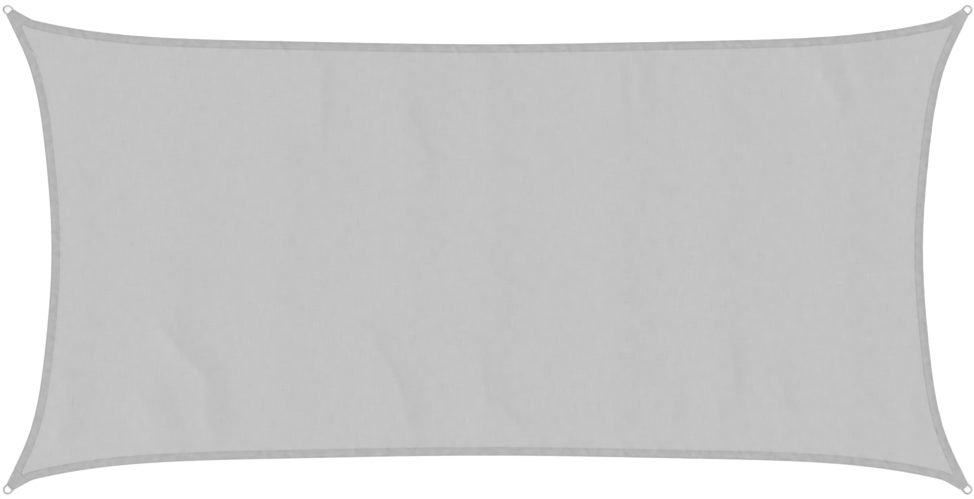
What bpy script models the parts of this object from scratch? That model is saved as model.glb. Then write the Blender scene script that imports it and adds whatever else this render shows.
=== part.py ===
"""Rectangular shade sail, laid out flat and face up.

One panel of shade cloth with hollow-cut edges and a turned hem.
At each corner a patch of the same cloth is folded round the straight bar of a
steel D-ring and sewn to both faces of the panel.
Units are metres, +Z up, X along the long side; the origin is on the floor
under the middle of the sail.
"""
import math

import bmesh
import bpy
from mathutils import Vector

# ---------------------------------------------------------------- sizes
RING_SPAN_X = 5.000               # between the centres of the rings' bows
RING_SPAN_Y = 2.500
RING_ANGLE = math.radians(46.0)   # each ring points out at this angle to X

RING_WIRE = 0.006                 # wire diameter of the D-ring
RING_INSIDE = 0.035               # clear width between its legs
RING_LEG = 0.021                  # from the bar's axis to the bow's centre
RING_BEND = 0.003                 # bend radius between bar and legs

SHEET = 0.0012                    # one layer of the panel
HEM = 0.0024                      # the turned hem, two layers
HEM_WIDTH = 0.044
HEM_STEP = 0.0025                 # the hem's inner edge drops within this
PATCH = 0.0010                    # cloth of the corner patch
GAP = 0.0003                      # between pieces that lie on each other

# Each edge is an even curve about its middle, which turns straight where the patch
# begins. With s, the share of the way to that turn, its distance from the sail's
# middle line is middle + a s^2 + b s^4 + c s^6 + d s^8.
LONG_MIDDLE = 1.0710
LONG_TURN = 2.373
LONG_BOW = (0.1200, -0.2908, 0.4484, -0.1510)
SHORT_MIDDLE = 2.2692
SHORT_TURN = 1.068
SHORT_BOW = (0.1783, -0.2217, 0.3051, -0.1013)

TIP_WIDTH = 0.046                 # where the two edges would reach the bar
TIP_SETBACK = 0.009               # the panel ends this far short of the bar ...
TIP_CROWN = 0.003                 # ... and a little less at the tip's middle
PATCH_REACH = 0.090               # from the bar to the end of each tongue; the
                                  # upper one rises to the bar past the panel's tip
PATCH_NECK = 0.033                # its width inside the ring
PATCH_INSET = 0.0005              # elsewhere the panel shows this much beside it

LIFT_FULL = 0.185                 # this near to a bar the panel lies on the patch
LIFT_END = 0.340                  # and from here on it lies on the floor

COLUMNS = 30                      # cells from the middle to the long edges' turn
ROWS = 14                         # cells from the middle to the short edges' turn
BOW_STEPS = 14
BEND_STEPS = 3
WRAP_STEPS = 12

# Soft ridges, where the panel stands off the floor: most rise gently on their left
# (-X) side and fall away faster on their right. Both ends are (x, y).
# name, start, end, half width on the left, half width on the right, height
RIDGES = (
    ("low left, head", (-1.68, -0.43), (-1.61, -0.53), 0.070, 0.120, 0.0058),
    ("low left, upper run", (-1.61, -0.53), (-1.47, -0.67), 0.080, 0.085, 0.0084),
    ("low left, lower run", (-1.47, -0.67), (-1.42, -0.93), 0.135, 0.085, 0.0082),
    ("low left, near the hem", (-1.80, -0.82), (-1.68, -1.02), 0.110, 0.165, 0.0060),
    ("left side, low", (-2.24, -0.70), (-2.24, -1.00), 0.070, 0.130, 0.0045),
    ("low middle, first", (-0.62, -0.51), (-0.43, -0.84), 0.230, 0.080, 0.0068),
    ("low middle, second", (-0.06, -0.58), (-0.01, -0.80), 0.190, 0.065, 0.0048),
    ("low middle, third", (-0.01, -0.80), (0.20, -0.99), 0.190, 0.065, 0.0046),
    ("low right, first", (1.26, -0.54), (1.27, -0.69), 0.160, 0.060, 0.0044),
    ("low right, second", (0.98, -0.74), (0.96, -0.92), 0.140, 0.060, 0.0034),
    ("low right, third", (1.50, -0.70), (1.58, -0.86), 0.160, 0.065, 0.0034),
    ("high left", (-0.86, 0.98), (-0.85, 0.76), 0.120, 0.060, 0.0046),
    ("high middle", (-0.42, 0.68), (-0.35, 0.47), 0.170, 0.070, 0.0050),
    ("high right, first", (0.69, 1.00), (0.70, 0.80), 0.140, 0.080, 0.0042),
    ("high right, second", (0.80, 1.00), (0.81, 0.80), 0.100, 0.060, 0.0046),
    ("high right corner", (1.67, 1.06), (1.82, 0.82), 0.120, 0.080, 0.0085),
    ("outside that corner", (1.92, 1.06), (1.96, 0.90), 0.070, 0.150, 0.0065),
)

# Shallow ridges right across the panel, from the folds of the packed sail.
# name, x, half width, height
PACKING_FOLDS = (
    ("first", -2.20, 0.17, 0.0034),
    ("second", -1.66, 0.17, 0.0042),
    ("third", -1.07, 0.17, 0.0046),
    ("fourth", -0.44, 0.14, 0.0036),
    ("fifth", 0.01, 0.15, 0.0040),
    ("sixth", 0.66, 0.17, 0.0050),
    ("seventh", 1.19, 0.15, 0.0042),
    ("eighth", 1.83, 0.17, 0.0046),
    ("ninth", 2.26, 0.12, 0.0030),
)
SETTLE = 0.0010                   # the weight of the cloth flattens this much
HEM_CALM = 0.25                   # share of a ridge that is left in the hem
CALM_REACH = 0.200                # its full height is reached this far inside

# name, side along X, side along Y
CORNERS = (
    ("front_left", -1, -1),
    ("front_right", 1, -1),
    ("back_left", -1, 1),
    ("back_right", 1, 1),
)

STACK = PATCH + GAP + HEM + GAP + PATCH
WRAP_RADIUS = RING_WIRE / 2 + GAP + PATCH / 2
BAR_HEIGHT = RING_WIRE / 2 + GAP + PATCH
INSETS = (HEM_WIDTH + HEM_STEP, HEM_WIDTH, 0.0)    # the panel's three last rims


# ---------------------------------------------------------------- set-up
def clear_scene():
    for old in list(bpy.data.objects):
        bpy.data.objects.remove(old, do_unlink=True)


def new_collection(name):
    group = bpy.data.collections.new(name)
    bpy.context.scene.collection.children.link(group)
    return group


def new_material(name, colour, roughness, metallic=0.0):
    mat = bpy.data.materials.new(name)
    mat.use_nodes = True
    shader = mat.node_tree.nodes["Principled BSDF"]
    shader.inputs["Base Color"].default_value = (*colour, 1.0)
    shader.inputs["Roughness"].default_value = roughness
    shader.inputs["Metallic"].default_value = metallic
    return mat


def mesh_object(name, bm, mat, group):
    bmesh.ops.recalc_face_normals(bm, faces=bm.faces)
    mesh = bpy.data.meshes.new(name)
    bm.to_mesh(mesh)
    bm.free()
    mesh.materials.append(mat)
    obj = bpy.data.objects.new(name, mesh)
    group.objects.link(obj)
    return obj


def share(value, start, end):
    """How far value is from start to end, held between 0 and 1."""
    return min(1.0, max(0.0, (value - start) / (end - start)))


def eased(value):
    return value * value * (3 - 2 * value)


# ---------------------------------------------------------------- outline
def ring_way():
    return Vector((math.cos(RING_ANGLE), math.sin(RING_ANGLE)))


def bar_way():
    return Vector((-math.sin(RING_ANGLE), math.cos(RING_ANGLE)))


def bar_middle():
    return Vector((RING_SPAN_X / 2, RING_SPAN_Y / 2)) - ring_way() * RING_LEG


def tip_end(side):
    """End of the tip at the bar: 1 on the long edge, -1 on the short one."""
    return bar_middle() + bar_way() * (side * TIP_WIDTH / 2)


def long_arc(x):
    squared = (x / LONG_TURN) ** 2
    return LONG_MIDDLE + sum(a * squared ** k for k, a in enumerate(LONG_BOW, 1))


def short_arc(y):
    squared = (y / SHORT_TURN) ** 2
    return SHORT_MIDDLE + sum(a * squared ** k for k, a in enumerate(SHORT_BOW, 1))


def long_turn():
    return Vector((LONG_TURN, long_arc(LONG_TURN)))


def short_turn():
    return Vector((short_arc(SHORT_TURN), SHORT_TURN))


def long_way():
    """Direction of the long edge's straight run, towards the ring."""
    return (tip_end(1) - long_turn()).normalized()


def short_way():
    return (tip_end(-1) - short_turn()).normalized()


def long_rim(x, inset):
    """A point of the long edge, moved square into the panel."""
    step = LONG_TURN / COLUMNS / 10
    slope = (long_arc(x + step) - long_arc(x - step)) / (2 * step)
    if math.isclose(x, LONG_TURN):
        slope = (slope + long_way().y / long_way().x) / 2
    return Vector((x, long_arc(x))) + Vector((slope, -1)).normalized() * inset


def short_rim(y, inset):
    """A point of the short edge, moved square into the panel."""
    step = SHORT_TURN / ROWS / 10
    slope = (short_arc(y + step) - short_arc(y - step)) / (2 * step)
    if math.isclose(y, SHORT_TURN):
        slope = (slope + short_way().x / short_way().y) / 2
    return Vector((short_arc(y), y)) + Vector((-1, slope)).normalized() * inset


def crossing(long_inset, short_inset):
    """Where lines inside the two straight runs cross, near the ring."""
    way_a, way_b = long_way(), short_way()
    start_a = long_turn() + Vector((way_a.y, -way_a.x)) * long_inset
    start_b = short_turn() + Vector((-way_b.y, way_b.x)) * short_inset
    apart = start_b - start_a
    return start_a + way_a * (apart.cross(way_b) / way_a.cross(way_b))


def cut_tip(side):
    """End of the panel's own cut tip, a little short of the bar."""
    way = long_way() if side > 0 else short_way()
    return tip_end(side) - way * (TIP_SETBACK / way.dot(ring_way()))


def corner_rim(long_level, short_level):
    """The points where the last rims of the two edges meet."""
    outer = len(INSETS) - 1
    if long_level < outer and short_level < outer:
        return crossing(INSETS[long_level], INSETS[short_level])
    if long_level == short_level:
        return (cut_tip(1) + cut_tip(-1)) / 2 + ring_way() * TIP_CROWN
    if long_level == outer:
        back = long_way() * (HEM_STEP * (outer - 1 - short_level))
        return cut_tip(1) - back
    back = short_way() * (HEM_STEP * (outer - 1 - long_level))
    return cut_tip(-1) - back


def panel_point(column, row):
    """Place in the plane of a grid point in the quarter with x, y >= 0."""
    last_column, last_row = COLUMNS + 1, ROWS + 1
    short_level, long_level = column - last_column, row - last_row
    if short_level >= 0 and long_level >= 0:
        return corner_rim(long_level, short_level)
    if long_level >= 0:
        return long_rim(LONG_TURN * column / COLUMNS, INSETS[long_level])
    if short_level >= 0:
        return short_rim(SHORT_TURN * row / ROWS, INSETS[short_level])
    top, right = panel_point(column, last_row), panel_point(last_column, row)
    high, wide = panel_point(0, last_row).y, panel_point(last_column, 0).x
    corner = panel_point(last_column, last_row)
    u, v = top.x / corner.x, right.y / corner.y
    low, left = Vector((u * wide, 0)), Vector((0, v * high))
    flat = Vector((u * (1 - v) * wide, (1 - u) * v * high)) + corner * (u * v)
    return low.lerp(top, v) + left.lerp(right, u) - flat


# ---------------------------------------------------------------- relief
def ridge_height(point, start, end, left, right, height):
    start, end = Vector(start), Vector(end)
    way = end - start
    along = share((point - start).dot(way), 0.0, way.length_squared)
    away = point - start.lerp(end, along)
    if away.length == 0.0:
        return height
    half_width = (left + right) / 2 + (right - left) / 2 * away.x / away.length
    return height * math.exp(-(away.length / half_width) ** 2)


def fold_height(point, x, half_width, height):
    return height * math.exp(-((point.x - x) / half_width) ** 2)


def underside(point, inside):
    """Height of the panel's underside; inside is the distance to its edge."""
    relief = max(ridge_height(point, *row[1:]) for row in RIDGES)
    relief += sum(fold_height(point, *row[1:]) for row in PACKING_FOLDS)
    calm = HEM_CALM + (1 - HEM_CALM) * eased(share(inside, 0.0, CALM_REACH))
    ring_side = Vector((abs(point.x), abs(point.y)))
    away = (ring_side - bar_middle()).length
    lying = eased(share(away, LIFT_FULL, LIFT_END))
    settled = max(0.0, relief * calm - SETTLE)
    return settled * lying + (PATCH + GAP) * (1 - lying)


# ---------------------------------------------------------------- pieces
def make_panel(group, mat):
    """The panel with its hem: a grid laid into the outline, then thickened."""
    half_columns, half_rows = COLUMNS + len(INSETS), ROWS + len(INSETS)
    bm = bmesh.new()
    bmesh.ops.create_grid(bm, x_segments=2 * half_columns,
                          y_segments=2 * half_rows, size=1.0)
    hem = []
    for vert in bm.verts:
        column, row = round(vert.co.x * half_columns), round(vert.co.y * half_rows)
        place = panel_point(abs(column), abs(row))
        inside = min(long_arc(place.x) - place.y, short_arc(place.y) - place.x)
        place.x = math.copysign(place.x, column)
        place.y = math.copysign(place.y, row)
        vert.co = (*place, underside(place, inside))
        if abs(column) > COLUMNS + 1 or abs(row) > ROWS + 1:
            hem.append(vert.index)
    panel = mesh_object("sail_cloth", bm, mat, group)
    panel.vertex_groups.new(name="hem").add(hem, 1.0, "REPLACE")

    halves = panel.modifiers.new("One diagonal for both faces", "TRIANGULATE")
    halves.quad_method = "SHORTEST_DIAGONAL"
    layers = panel.modifiers.new("Cloth and hem", "SOLIDIFY")
    layers.thickness = HEM
    layers.offset = 1.0
    layers.vertex_group = "hem"
    layers.thickness_vertex_group = SHEET / HEM
    return panel


def patch_path():
    """Middle line of the folded patch: (outward, up), from tongue to tongue."""
    low, high = PATCH / 2, STACK - PATCH / 2
    ramp_foot = Vector((-TIP_SETBACK, high - BAR_HEIGHT))
    heading = math.atan2(ramp_foot.y, ramp_foot.x)
    last_angle = heading - math.acos(WRAP_RADIUS / ramp_foot.length)
    first_angle = -math.pi / 2
    stops = (PATCH_REACH, PATCH_REACH / 2, TIP_SETBACK)
    path = [(-stop, low) for stop in stops]
    for step in range(WRAP_STEPS + 1):
        angle = first_angle + (last_angle - first_angle) * step / WRAP_STEPS
        path.append((WRAP_RADIUS * math.cos(angle),
                     BAR_HEIGHT + WRAP_RADIUS * math.sin(angle)))
    return path + [(-stop, high) for stop in reversed(stops)]


def patch_half_width(outward, edge_way):
    """Half width towards the panel's edge that runs along edge_way."""
    if outward > -TIP_SETBACK:
        return PATCH_NECK / 2
    spread = abs(edge_way.cross(ring_way())) / edge_way.dot(ring_way())
    return TIP_WIDTH / 2 - PATCH_INSET - outward * spread


def make_patch(name, side_x, side_y, group, mat):
    """A strip laid along the folded path, as wide as the corner, thickened."""
    path = patch_path()
    cells = len(path) - 1
    bm = bmesh.new()
    bmesh.ops.create_grid(bm, x_segments=cells, y_segments=2, size=1.0)
    for vert in bm.verts:
        outward, up = path[round((vert.co.x + 1) / 2 * cells)]
        side = round(vert.co.y)
        edge_way = long_way() if side > 0 else short_way()
        across = side * patch_half_width(outward, edge_way) * side_x * side_y
        vert.co = (outward, across, up)
    patch = mesh_object("corner_patch_" + name, bm, mat, group)
    place_at_bar(patch, side_x, side_y, 0.0)

    cloth = patch.modifiers.new("Cloth", "SOLIDIFY")
    cloth.thickness = PATCH
    cloth.offset = 0.0
    cloth.use_even_offset = True
    return patch


def ring_path():
    """Middle line of the D-ring: (outward, across), once round."""
    radius = (RING_INSIDE + RING_WIRE) / 2
    path = []
    for step in range(BOW_STEPS + 1):
        angle = math.pi * (step / BOW_STEPS - 0.5)
        path.append((RING_LEG + radius * math.cos(angle), radius * math.sin(angle)))
    for side, first in ((1, 0.0), (-1, math.pi / 2)):
        middle = Vector((RING_BEND, side * (radius - RING_BEND)))
        for step in range(BEND_STEPS + 1):
            angle = first + math.pi / 2 * step / BEND_STEPS
            path.append((middle.x - RING_BEND * math.sin(angle),
                         middle.y + RING_BEND * math.cos(angle)))
    return path


def make_ring(name, side_x, side_y, group, mat):
    """A closed wire with a straight bar; its bow comes to rest on the floor."""
    curve = bpy.data.curves.new("d_ring_" + name, "CURVE")
    curve.dimensions = "3D"
    curve.bevel_depth = RING_WIRE / 2
    curve.bevel_resolution = 3
    path = ring_path()
    spline = curve.splines.new("POLY")
    spline.points.add(len(path) - 1)
    for point, (outward, across) in zip(spline.points, path):
        point.co = (outward, across, 0.0, 1.0)
    spline.use_cyclic_u = True
    spline.use_smooth = True
    curve.materials.append(mat)
    ring = bpy.data.objects.new("d_ring_" + name, curve)
    group.objects.link(ring)
    place_at_bar(ring, side_x, side_y, BAR_HEIGHT)
    reach = RING_LEG + (RING_INSIDE + RING_WIRE) / 2
    ring.rotation_euler.y = math.asin((BAR_HEIGHT - RING_WIRE / 2) / reach)
    return ring


def place_at_bar(obj, side_x, side_y, height):
    """Put an object at one corner's bar, with its own +X pointing outwards."""
    middle, way = bar_middle(), ring_way()
    obj.location = (side_x * middle.x, side_y * middle.y, height)
    obj.rotation_euler.z = math.atan2(side_y * way.y, side_x * way.x)


def main():
    clear_scene()
    group = new_collection("shade_sail")
    cloth = new_material("shade cloth, light grey", (0.54, 0.54, 0.54), 0.75)
    doubled = new_material("shade cloth, doubled", (0.46, 0.46, 0.46), 0.78)
    steel = new_material("stainless steel", (0.62, 0.62, 0.62), 0.28, 1.0)
    make_panel(group, cloth)
    for name, side_x, side_y in CORNERS:
        make_patch(name, side_x, side_y, group, doubled)
        make_ring(name, side_x, side_y, group, steel)


main()
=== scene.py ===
"""Looks of a rectangular shade sail that lies flat and face up, seen from straight above.

The cloth is one sheet: the panel, and all round it the hem, which is folded over onto
the face, turned in at its raw edge and sewn down with two rows of stitches.
At each corner a patch of the same cloth is folded round the straight bar of a D-ring.
Units are metres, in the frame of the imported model: +Z up, X along the long side.
"""
import math
from collections import namedtuple

import bpy
import numpy as np
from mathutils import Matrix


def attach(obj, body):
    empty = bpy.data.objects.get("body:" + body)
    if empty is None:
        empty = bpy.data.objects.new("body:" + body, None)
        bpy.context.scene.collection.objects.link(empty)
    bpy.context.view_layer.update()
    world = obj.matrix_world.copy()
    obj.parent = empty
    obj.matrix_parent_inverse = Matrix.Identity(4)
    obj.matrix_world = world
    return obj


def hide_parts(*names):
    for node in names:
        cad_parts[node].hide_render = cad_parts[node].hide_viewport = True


# -------- sizes, as in the solids
RING_SPAN_X = 5.000               # between the centres of the rings' bows
RING_SPAN_Y = 2.500
RING_ANGLE = math.radians(46.0)   # each ring points out at this angle to X
RING_WIRE = 0.006                 # thickness
RING_INSIDE = 0.035               # width
RING_LEG = 0.021                  # from the bar's axis to the bow's centre
RING_BEND = 0.003                 # radius of the bends at the bar's ends
HEM_WIDTH = 0.044
SOLID_HEM = 0.0024                # thickness of the hem in the solid
PATCH = 0.0010                    # thickness of a patch there
GAP = 0.0003                      # between pieces that lie on each other
TIP_WIDTH = 0.046                 # where the two edges would reach the bar
TIP_SETBACK = 0.009               # the panel ends this far short of the bar
PATCH_REACH = 0.090               # from the bar to the end of each tongue
PATCH_NECK = 0.033                # width where it goes round the bar
PATCH_INSET = 0.0005              # it stays this far inside the sail's outline
LIFT_FULL = 0.185                 # this near to a bar the panel lies on the patch
LIFT_END = 0.340                  # and from here on it lies on the floor
BAR_HEIGHT = RING_WIRE / 2 + GAP + PATCH    # of its axis
WRAP_RADIUS = RING_WIRE / 2 + GAP + PATCH / 2    # of the patch's middle, round the bar
TONGUE_HIGH = PATCH + GAP + SOLID_HEM + GAP + PATCH / 2    # middle of the upper tongue

# One kind of edge in its own axes: t along it, d out from the middle of the sail.
# middle: d at t = 0. turn: the t where it turns straight. bow: factors of the even
# powers of t / turn. side: the end of the bar that it runs to. cells: along half of it.
Edge = namedtuple("Edge", "middle turn bow side cells")
LONG = Edge(1.0710, 2.373, (0.1200, -0.2908, 0.4484, -0.1510), 1, 160)
SHORT = Edge(2.2692, 1.068, (0.1783, -0.2217, 0.3051, -0.1013), -1, 72)

# name, start, end, half width on the left and on the right, height: the solid's ridges
RIDGES = (
    ("low left, head", (-1.68, -0.43), (-1.61, -0.53), 0.070, 0.120, 0.0058),
    ("low left, upper run", (-1.61, -0.53), (-1.47, -0.67), 0.080, 0.085, 0.0084),
    ("low left, lower run", (-1.47, -0.67), (-1.42, -0.93), 0.135, 0.085, 0.0082),
    ("low left, near the hem", (-1.80, -0.82), (-1.68, -1.02), 0.110, 0.165, 0.0060),
    ("left side, low", (-2.24, -0.70), (-2.24, -1.00), 0.070, 0.130, 0.0045),
    ("low middle, first", (-0.62, -0.51), (-0.43, -0.84), 0.230, 0.080, 0.0068),
    ("low middle, second", (-0.06, -0.58), (-0.01, -0.80), 0.190, 0.065, 0.0048),
    ("low middle, third", (-0.01, -0.80), (0.20, -0.99), 0.190, 0.065, 0.0046),
    ("low right, first", (1.26, -0.54), (1.27, -0.69), 0.160, 0.060, 0.0044),
    ("low right, second", (0.98, -0.74), (0.96, -0.92), 0.140, 0.060, 0.0034),
    ("low right, third", (1.50, -0.70), (1.58, -0.86), 0.160, 0.065, 0.0034),
    ("high left", (-0.86, 0.98), (-0.85, 0.76), 0.120, 0.060, 0.0046),
    ("high middle", (-0.42, 0.68), (-0.35, 0.47), 0.170, 0.070, 0.0050),
    ("high right, first", (0.69, 1.00), (0.70, 0.80), 0.140, 0.080, 0.0042),
    ("high right, second", (0.80, 1.00), (0.81, 0.80), 0.100, 0.060, 0.0046),
    ("high right corner", (1.67, 1.06), (1.82, 0.82), 0.120, 0.080, 0.0085),
    ("outside that corner", (1.92, 1.06), (1.96, 0.90), 0.070, 0.150, 0.0065),
)
# x, half width, height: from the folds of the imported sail
PACKING_FOLDS = (
    (-2.20, 0.17, 0.0034),
    (-1.66, 0.17, 0.0042),
    (-1.07, 0.17, 0.0046),
    (-0.44, 0.14, 0.0036),
    (0.01, 0.15, 0.0040),
    (0.66, 0.17, 0.0050),
    (1.19, 0.15, 0.0042),
    (1.83, 0.17, 0.0046),
    (2.26, 0.12, 0.0030),
)
SETTLE = 0.0010                   # ridges and folds sink this much, so their feet lie flat
HEM_CALM = 0.25                   # share of their height that is left at the edge ...
CALM_REACH = 0.200                # ... and from this far inside it is whole

# -------- sizes of the finer forms
# name, start, end, half width, height: the sharper creases on those ridges
CREASES = (
    ("low left, upper run", (-1.695, -0.412), (-1.626, -0.498), 0.022, 0.0020),
    ("low left, knee", (-1.626, -0.498), (-1.470, -0.660), 0.022, 0.0020),
    ("low left, lower run", (-1.470, -0.660), (-1.464, -0.886), 0.020, 0.0018),
    ("low left, foot", (-1.464, -0.886), (-1.433, -1.010), 0.020, 0.0015),
    ("low left, near the hem", (-1.793, -0.782), (-1.700, -1.000), 0.030, 0.0012),
    ("left side", (-2.194, -0.667), (-2.183, -0.844), 0.020, 0.0009),
    ("left side, low", (-2.235, -0.938), (-2.225, -1.020), 0.020, 0.0009),
    ("low middle, first", (-0.579, -0.485), (-0.454, -0.703), 0.022, 0.0016),
    ("low middle, first, foot", (-0.454, -0.703), (-0.412, -0.912), 0.022, 0.0014),
    ("low middle, second", (-0.032, -0.584), (-0.006, -0.823), 0.020, 0.0014),
    ("low middle, third", (0.072, -0.808), (0.215, -1.000), 0.020, 0.0012),
    ("low right, first", (1.280, -0.495), (1.286, -0.740), 0.018, 0.0012),
    ("low right, second", (0.952, -0.771), (0.968, -0.875), 0.016, 0.0010),
    ("low right, between", (1.192, -0.771), (1.208, -0.875), 0.016, 0.0010),
    ("low right, third", (1.478, -0.761), (1.567, -0.833), 0.016, 0.0010),
    ("high left", (-0.860, 0.927), (-0.855, 0.521), 0.018, 0.0014),
    ("high middle", (-0.391, 0.687), (-0.298, 0.469), 0.018, 0.0013),
    ("high right, first", (0.687, 0.979), (0.697, 0.765), 0.016, 0.0012),
    ("high right, second", (0.786, 0.979), (0.796, 0.791), 0.016, 0.0009),
    ("high right corner", (1.734, 1.030), (1.749, 0.901), 0.020, 0.0018),
    ("high right corner, foot", (1.749, 0.901), (1.838, 0.755), 0.020, 0.0018),
    ("outside that corner", (1.888, 1.060), (1.900, 0.940), 0.018, 0.0020),
)
RIPPLE = 0.00022                  # uneven lie of the whole cloth
RIPPLE_WAVES = 26
RIPPLE_LENGTHS = (0.09, 0.60)     # of the shortest and the longest wave
SOFT_LANDING = 0.0009             # rounds the line where a ridge leaves the floor

SHEET_UP = 0.0004                 # the cloth's middle over its underside
LAYER_STEP = 0.0007               # the hem's upper layer over its lower one ...
CORNER_LAYERS = 0.0009            # ... and this much more where two hems cross
TURN_IN = 0.012                   # the raw edge, turned in under the hem's inner edge
HEM_FOLD = 0.001                  # cloth that the fold at the outer edge takes
HEM_ROUNDING = 0.0006             # and the middle of that fold, from the edge
ROW_OUTER = 0.0065                # the two rows of stitches, from the outer edge
ROW_INNER = 0.0385
ROW_DIMPLE = 0.00045              # the thread draws the layers together this much
ROW_HALF_WIDTH = 0.0035
HEM_BULGE = 0.00025               # the hem stands up between its two rows
PUCKER_PITCH = 0.036
PUCKER_JITTER = 0.45              # most that one is out of its place, in pitches
PUCKER_PAST = 0.06                # their row goes on this far past the arc
PUCKER_HEIGHT = 0.0036            # of the few highest ones
PUCKER_LEAST = 0.15               # share of that height that the others keep
PUCKER_WIDTHS = (0.009, 0.016)    # least and greatest half width
PUCKER_SLANTS = (0.2, 0.9, 1.8)   # least slant, and most on a long and on a short edge
PUCKER_DOWN = 0.3                 # this share of them bends down ...
PUCKER_DOWN_HEIGHT = -0.7         # ... by this much of its height ...
PUCKER_SINK = 0.8                 # ... and at most this much of the way to the floor
PUCKER_ENDS = 0.10                # they fade this near to a corner's mitre ...
PATCH_FADE = 0.05                 # ... and within this distance of a patch
# How much of a pucker is left at each inset from the edge.
PUCKER_INSETS = (0.0, 0.010, 0.022, 0.044, 0.055, 0.070, 0.090, 0.130)
PUCKER_SHARES = (0.35, 0.70, 1.00, 0.80, 0.50, 0.25, 0.08, 0.0)
TIP_CELLS = 4                     # cells of the straight run at each end of an edge
TURN_ROUND = 0.025                # the edge turns into that run this far before and after
SLOPE_STEPS = 300                 # its slope is taken over steps of turn / this
MARGIN_CELLS = 6                  # the panel's outer cells are halved along its edge ...
MARGIN_SHARES = (0.25, 0.45, 0.62, 0.76, 0.88, 1.0)    # ... and lie at these shares
UNSEWN = -1.0                     # stands for the hem's inset where no row shows
# Insets of the hem's upper layer, from its fold inwards.
UPPER_INSETS = (0.0018, 0.0042, ROW_OUTER, 0.0088, 0.0150, 0.0235, 0.0320,
                0.0362, ROW_INNER, 0.0410, 0.0430)
# The hem's section from the panel outwards, up round the fold and back in:
# inset from the edge, layer, share of the height from the lower layer to the upper one.
HEM_SECTION = (
    (ROW_INNER, "lower", 0.0),
    (0.0200, "lower", 0.0),
    (0.0030, "lower", 0.0),
    (0.0004, "fold", 0.12),
    (0.0000, "fold", 0.50),
    (0.0004, "fold", 0.88),
    *((inset, "upper", 1.0) for inset in UPPER_INSETS),
    (0.0437, "turned", 0.93),
    (HEM_WIDTH, "turned", 0.75),
    (0.0437, "turned", 0.55),
    (HEM_WIDTH - TURN_IN, "turned", 0.50),
)

STITCH_PITCH = 0.0052
STITCH_LENGTH = 0.0046
STITCH_SWAY = 0.10                # most that a stitch turns off its row, in radians
STITCH_JITTER = 0.05              # most that it is out of its place, in pitches
THREAD = 0.0008
# A stitch's three rings: place along it, height in threads, thickness in threads.
STITCH_RINGS = ((-0.5, -0.45, 0.55), (0.0, 0.25, 1.0), (0.5, -0.45, 0.55))
UNDER_THREAD = 0.00005            # the lower threads lie this much under the sheet

PATCH_SHEET = 0.0004              # the upper tongue, without the slack of the solid
PATCH_PRESSED = 0.0036            # its middle where it is sewn down
PATCH_NARROW = (-0.0075, -0.0008)    # it narrows to fit the ring between these places
PATCH_SLOPE_END = 0.030           # it comes down from the bar within this distance
PATCH_ROWS = 44                   # cells along each tongue
PATCH_TAPER_ROWS = 10
PATCH_WRAP_ROWS = 22
PATCH_COLUMNS = 48
PATCH_ROUND = (30, 60, 90)        # steps of its rounded rim, in degrees
PATCH_MARGIN = 0.0085             # its turned-in edge, which is a little thicker
PATCH_MARGIN_RISE = 0.00010
PATCH_MARGIN_STEP = 0.001         # the step down at its end is this wide
PATCH_SEAM = 0.0050               # stitches round each tongue, from its rim
PATCH_BAR_SEAMS = (0.0150, 0.0205)    # and across it, from the bar
PATCH_DIMPLE = 0.00018
PATCH_DIMPLE_WIDTH = 0.0018
PATCH_SEAM_POINTS = 40            # on each side's line of stitches
PATCH_WAVES = 5                   # slight waves in the sewn tongue ...
PATCH_WAVE_HEIGHT = 0.00003       # ... of this height each ...
PATCH_WAVE_RATES = (60, 160)      # ... and of so many radians in a metre
PATCH_WAVE_PHASE = 6              # most that one is shifted, in radians

WALE_PITCH = 0.0026               # the cloth's knit: chains ...
COURSE_PITCH = 0.0021             # ... and loops

RING_SIDES = 24
RING_BOW_STEPS = 72
RING_BEND_STEPS = 8
RING_STRAIGHT_STEPS = 6

# Seeds of the random draws.
RIPPLE_SEED = 7
PUCKER_SEED = 21
HEM_STITCH_SEED = 3
PATCH_SEED = 31
PATCH_STITCH_SEED = 57

# name, side along X, side along Y
CORNERS = (("front_left", -1, -1), ("front_right", 1, -1),
           ("back_left", -1, 1), ("back_right", 1, 1))
# name, kind, side of the sail
EDGES = (("front", LONG, -1), ("back", LONG, 1),
         ("left", SHORT, -1), ("right", SHORT, 1))

# -------- tones and finish
# The single layer is painted lighter than the doubled hem and patch: painted light, for the
# floor's light that shows through the open knit, and less through two layers.
CLOTH_GREY = 0.4715
HEM_GREY = 0.405
PATCH_GREY = 0.402
THREAD_GREY = 0.30
PALE_THREAD_GREY = 0.39           # on the patches
STEEL_GREY = 0.50
CLOTH_MOTTLE = 0.004              # how much the spots show: least in the single layer
HEM_MOTTLE = 0.060
PATCH_MOTTLE = 0.070
MOTTLE_SIZE = (0.060, 0.034)
CLOTH_ROUGHNESS = 0.75
KNIT_ROUGHNESS = -0.05            # the loops' tops are a little smoother
CLOUDY_ROUGHNESS = 0.02
THREAD_ROUGHNESS = 0.6
STEEL_ROUGHNESS = 0.40
CLOTH_SPECULAR = 0.35
THREAD_SPECULAR = 0.4

# how much darker the knit's hollows and lighter its loops are painted: painted shade
KNIT_PAINTED_SHADE = 0.030
KNIT_HEIGHT = 0.00009
KNIT_LEAN = 2.2
CHAIN_SHARE = 0.55                # of the knit's height
LOOP_SHARE = 0.45
CLOTH_BUMP = 0.8                  # strength of all these heights
NOISE_GAIN = 5.0                  # noise from 0.3 to 0.7 becomes -1 to 1
# name, feature size along X and along Y, detail, shift, share in the tone, height
CLOTH_NOISE = (
    ("fuzz", 0.0011, 0.0011, 2.0, 3.0, 0.010, 0.00003),
    ("slubs along X", 0.085, 0.0075, 1.0, 11.0, 0.021, 0.00004),
    ("slubs along Y", 0.0075, 0.085, 1.0, 17.0, 0.024, 0.00004),
    ("cloudy", 0.055, 0.070, 3.0, 23.0, 0.014, 0.0),
    ("broad", 0.34, 0.60, 1.0, 29.0, 0.004, 0.0),
)
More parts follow.
